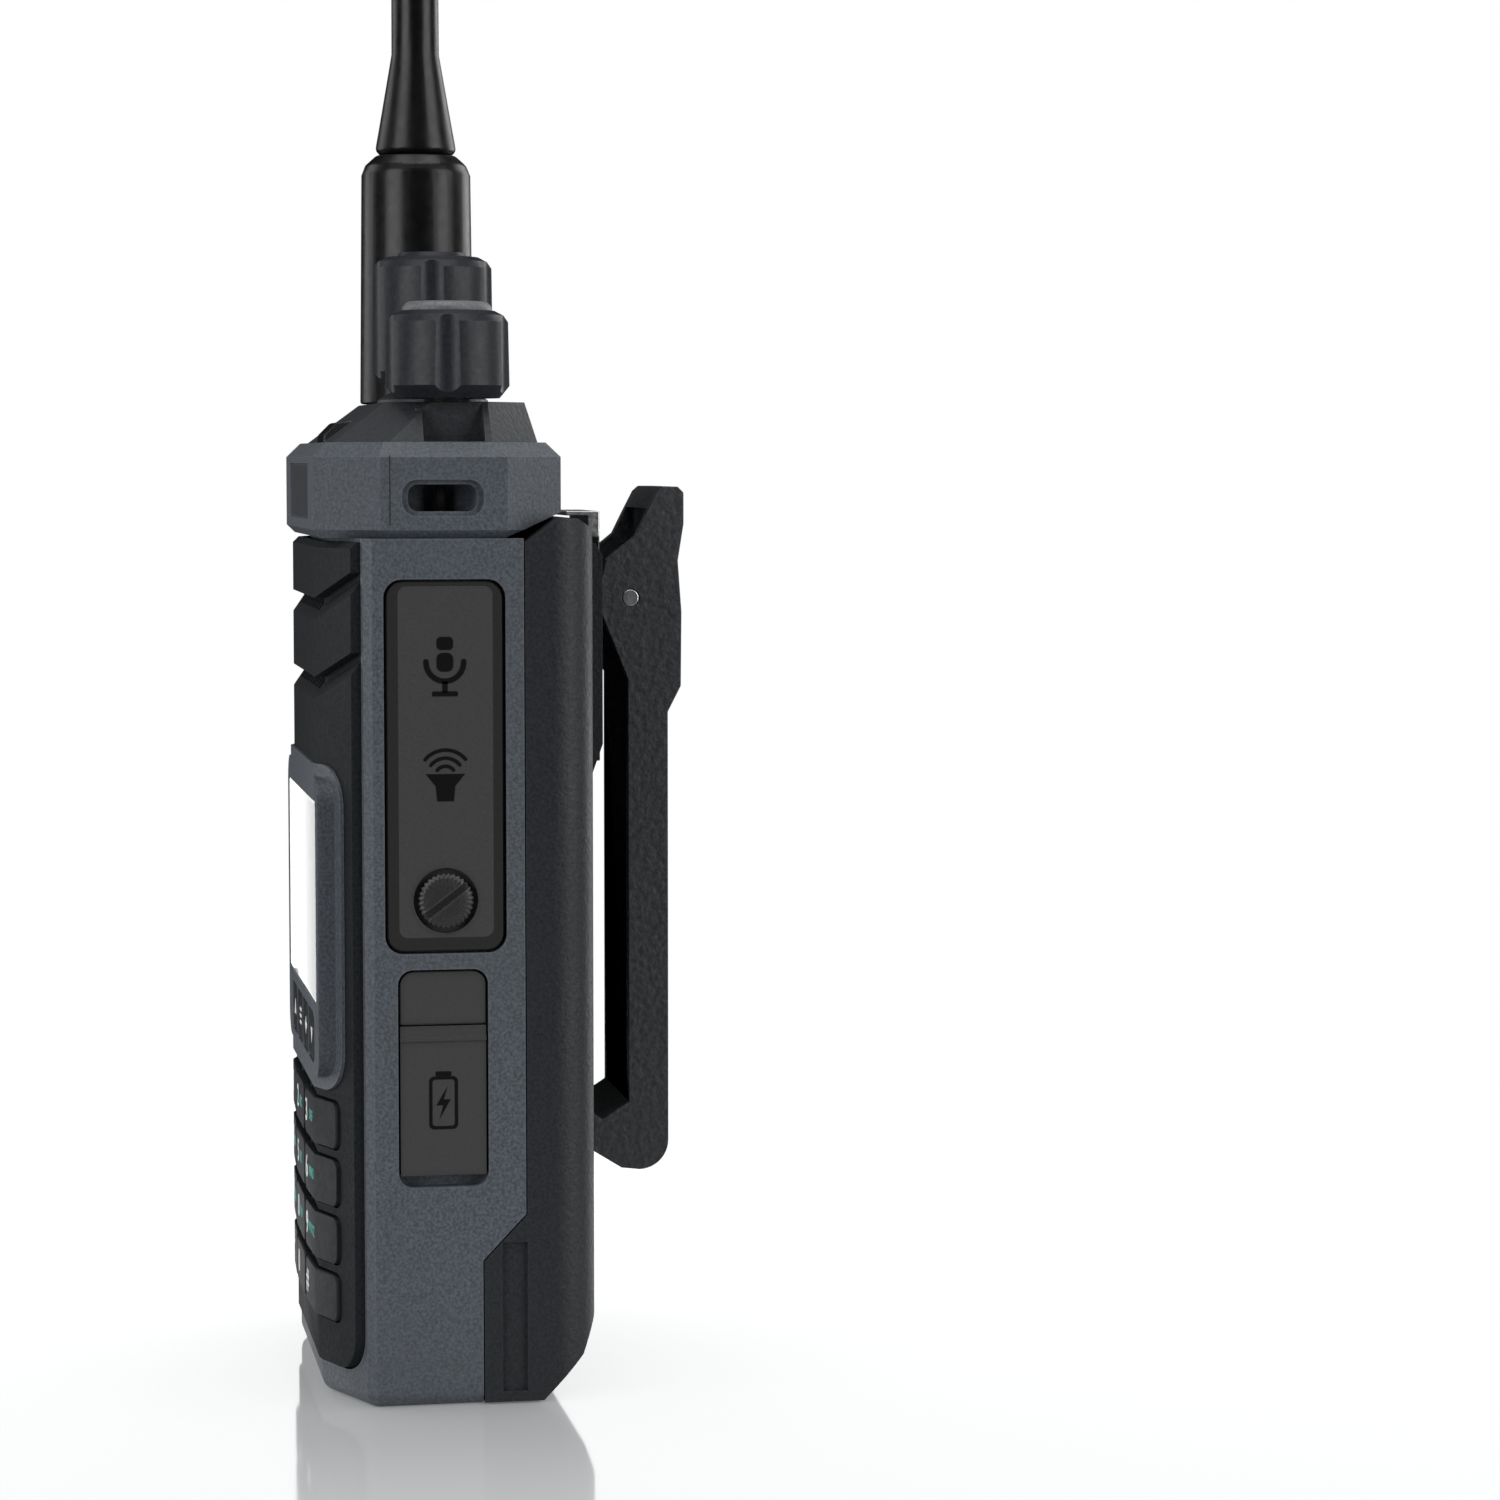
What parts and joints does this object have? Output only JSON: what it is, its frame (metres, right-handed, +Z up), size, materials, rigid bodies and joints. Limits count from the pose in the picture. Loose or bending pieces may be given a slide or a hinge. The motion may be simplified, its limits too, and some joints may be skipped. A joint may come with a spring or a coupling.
{
  "type": "walkie talkie",
  "caption": "Handheld two-way radio with antenna, rotary knobs, keypad, display, push-to-talk side, port covers and a belt clip on its battery.",
  "frame": {"origin": "on the base, under the axes of the knobs and the antenna, midway across the body", "axes": "+Z up along the antenna, -Y towards the front with the keypad, +X towards the side with the port covers"},
  "size_m": [0.0624, 0.0516, 0.3198],
  "materials": {
    "shell_grey": "fine moulded texture",
    "panel_black": "fine moulded texture",
    "deck_black": "fine moulded texture",
    "key_rubber": "satin silicone",
    "cover_rubber": "smooth matt rubber",
    "surround_rubber": "fine moulded texture",
    "button_black": "smooth matt",
    "knob_black": "matt soft touch",
    "cap_grey": "fine moulded texture",
    "antenna_black": "satin",
    "battery_black": "fine moulded texture",
    "clip_black": "coarse moulded texture",
    "screw_black": "black plated, satin",
    "bare_steel": "bare",
    "spring_steel": "oiled",
    "contact_gold": "plated",
    "nickel": "satin plated",
    "window_clear": "gloss",
    "lens_smoke": "gloss",
    "display_grey": "reflective liquid crystal display",
    "board_green": "solder resist",
    "cast_aluminium": "as cast",
    "cell_wrap": "shrink wrap",
    "cone_black": "paper cone and steel basket",
    "mesh_black": "woven",
    "socket_black": "moulded"
  },
  "bodies": {
    "housing": {"accessory_socket": "socket_black", "antenna_socket": "contact_gold", "button_board": "board_green", "channel_switch": "nickel", "charge_socket": "socket_black", "chassis_screws": "bare_steel", "display_bezel": "shell_grey", "display_window": "window_clear", "flap_anchor": "cover_rubber", "front_panel": "panel_black", "keypad_board": "board_green", "lcd_module": "display_grey", "main_board": "board_green", "main_shell": "shell_grey", "ptt_surround": "surround_rubber", "rear_chassis": "cast_aluminium", "speaker": "cone_black", "speaker_mesh": "mesh_black", "status_lens": "lens_smoke", "top_deck": "deck_black", "top_ring": "shell_grey", "volume_control": "nickel"},
    "antenna": {"antenna_sheath": "antenna_black", "antenna_whip": "antenna_black", "antenna_connector": "contact_gold"},
    "channel_selector": {"channel_knob": "knob_black", "channel_shaft": "nickel"},
    "volume_selector": {"volume_knob": "knob_black", "volume_knob_cap": "cap_grey", "volume_shaft": "nickel"},
    "ptt": {"ptt_button": "button_black"},
    "upper_side_key": {"side_key_upper": "button_black"},
    "lower_side_key": {"side_key_lower": "button_black"},
    "cover": {"accessory_cover": "cover_rubber"},
    "thumbscrew": {"cover_thumbscrew": "screw_black"},
    "flap": {"charge_flap": "cover_rubber"},
    "battery": {"battery_case": "battery_black", "battery_cells": "cell_wrap", "battery_contacts": "contact_gold", "clip_base": "bare_steel", "clip_screws": "bare_steel", "clip_pin": "bare_steel", "clip_spring": "spring_steel"},
    "clip": {"clip_lever": "clip_black"},
    "key_1_body": {"key_1": "key_rubber"},
    "key_2_body": {"key_2": "key_rubber"},
    "key_3_body": {"key_3": "key_rubber"},
    "key_4_body": {"key_4": "key_rubber"},
    "key_5_body": {"key_5": "key_rubber"},
    "key_6_body": {"key_6": "key_rubber"},
    "key_7_body": {"key_7": "key_rubber"},
    "key_8_body": {"key_8": "key_rubber"},
    "key_9_body": {"key_9": "key_rubber"},
    "key_star_body": {"key_star": "key_rubber"},
    "key_0_body": {"key_0": "key_rubber"},
    "key_hash_body": {"key_hash": "key_rubber"},
    "key_up_body": {"key_up": "key_rubber"},
    "key_menu_body": {"key_menu": "key_rubber"},
    "key_back_body": {"key_back": "key_rubber"},
    "key_down_body": {"key_down": "key_rubber"}
  },
  "joints": [
    {"name": "clip_pivot", "type": "hinge", "parent": "battery", "child": "clip", "pos_m": [0, 0.0258, 0.1053], "axis": [1, 0, 0], "range_deg": [0, 13], "stiffness_Nm_per_rad": 0.12, "springref_deg": -22.92},
    {"name": "battery_release", "type": "slide", "parent": "housing", "child": "battery", "axis": [0, 1, 0], "range_m": [0, 0.015]},
    {"name": "antenna_thread", "type": "hinge", "parent": "housing", "child": "antenna", "pos_m": [-0.0173, 0, 0.1315], "axis": [0, 0, 1], "continuous": true},
    {"name": "channel_turn", "type": "hinge", "parent": "housing", "child": "channel_selector", "pos_m": [0.003, 0, 0.1315], "axis": [0, 0, 1], "continuous": true},
    {"name": "volume_turn", "type": "hinge", "parent": "housing", "child": "volume_selector", "pos_m": [0.0205, 0, 0.1315], "axis": [0, 0, -1], "range_deg": [0, 290]},
    {"name": "cover_hinge", "type": "hinge", "parent": "housing", "child": "cover", "pos_m": [0.0306, -0.00165, 0.10825], "axis": [0, -1, 0], "range_deg": [0, 95]},
    {"name": "thumbscrew_turn", "type": "hinge", "parent": "cover", "child": "thumbscrew", "pos_m": [0.0305, -0.00165, 0.0667], "axis": [1, 0, 0], "continuous": true},
    {"name": "flap_hinge", "type": "hinge", "parent": "housing", "child": "flap", "pos_m": [0.0306, -0.0021, 0.0504], "axis": [0, -1, 0], "range_deg": [0, 140]},
    {"name": "ptt_press", "type": "slide", "parent": "housing", "child": "ptt", "axis": [1, 0, 0], "range_m": [0, 0.0008], "stiffness_N_per_m": 800, "springref_m": -0.001},
    {"name": "upper_side_press", "type": "slide", "parent": "housing", "child": "upper_side_key", "axis": [1, 0, 0], "range_m": [0, 0.0008], "stiffness_N_per_m": 800, "springref_m": -0.001},
    {"name": "lower_side_press", "type": "slide", "parent": "housing", "child": "lower_side_key", "axis": [1, 0, 0], "range_m": [0, 0.0008], "stiffness_N_per_m": 800, "springref_m": -0.001},
    {"name": "key_up_press", "type": "slide", "parent": "housing", "child": "key_up_body", "axis": [0, 1, 0], "range_m": [0, 0.0008], "stiffness_N_per_m": 500, "springref_m": -0.001},
    {"name": "key_menu_press", "type": "slide", "parent": "housing", "child": "key_menu_body", "axis": [0, 1, 0], "range_m": [0, 0.0008], "stiffness_N_per_m": 500, "springref_m": -0.001},
    {"name": "key_back_press", "type": "slide", "parent": "housing", "child": "key_back_body", "axis": [0, 1, 0], "range_m": [0, 0.0008], "stiffness_N_per_m": 500, "springref_m": -0.001},
    {"name": "key_down_press", "type": "slide", "parent": "housing", "child": "key_down_body", "axis": [0, 1, 0], "range_m": [0, 0.0008], "stiffness_N_per_m": 500, "springref_m": -0.001},
    {"name": "key_1_press", "type": "slide", "parent": "housing", "child": "key_1_body", "axis": [0, 1, 0], "range_m": [0, 0.0008], "stiffness_N_per_m": 500, "springref_m": -0.001},
    {"name": "key_2_press", "type": "slide", "parent": "housing", "child": "key_2_body", "axis": [0, 1, 0], "range_m": [0, 0.0008], "stiffness_N_per_m": 500, "springref_m": -0.001},
    {"name": "key_3_press", "type": "slide", "parent": "housing", "child": "key_3_body", "axis": [0, 1, 0], "range_m": [0, 0.0008], "stiffness_N_per_m": 500, "springref_m": -0.001},
    {"name": "key_4_press", "type": "slide", "parent": "housing", "child": "key_4_body", "axis": [0, 1, 0], "range_m": [0, 0.0008], "stiffness_N_per_m": 500, "springref_m": -0.001},
    {"name": "key_5_press", "type": "slide", "parent": "housing", "child": "key_5_body", "axis": [0, 1, 0], "range_m": [0, 0.0008], "stiffness_N_per_m": 500, "springref_m": -0.001},
    {"name": "key_6_press", "type": "slide", "parent": "housing", "child": "key_6_body", "axis": [0, 1, 0], "range_m": [0, 0.0008], "stiffness_N_per_m": 500, "springref_m": -0.001},
    {"name": "key_7_press", "type": "slide", "parent": "housing", "child": "key_7_body", "axis": [0, 1, 0], "range_m": [0, 0.0008], "stiffness_N_per_m": 500, "springref_m": -0.001},
    {"name": "key_8_press", "type": "slide", "parent": "housing", "child": "key_8_body", "axis": [0, 1, 0], "range_m": [0, 0.0008], "stiffness_N_per_m": 500, "springref_m": -0.001},
    {"name": "key_9_press", "type": "slide", "parent": "housing", "child": "key_9_body", "axis": [0, 1, 0], "range_m": [0, 0.0008], "stiffness_N_per_m": 500, "springref_m": -0.001},
    {"name": "key_star_press", "type": "slide", "parent": "housing", "child": "key_star_body", "axis": [0, 1, 0], "range_m": [0, 0.0008], "stiffness_N_per_m": 500, "springref_m": -0.001},
    {"name": "key_0_press", "type": "slide", "parent": "housing", "child": "key_0_body", "axis": [0, 1, 0], "range_m": [0, 0.0008], "stiffness_N_per_m": 500, "springref_m": -0.001},
    {"name": "key_hash_press", "type": "slide", "parent": "housing", "child": "key_hash_body", "axis": [0, 1, 0], "range_m": [0, 0.0008], "stiffness_N_per_m": 500, "springref_m": -0.001}
  ]
}
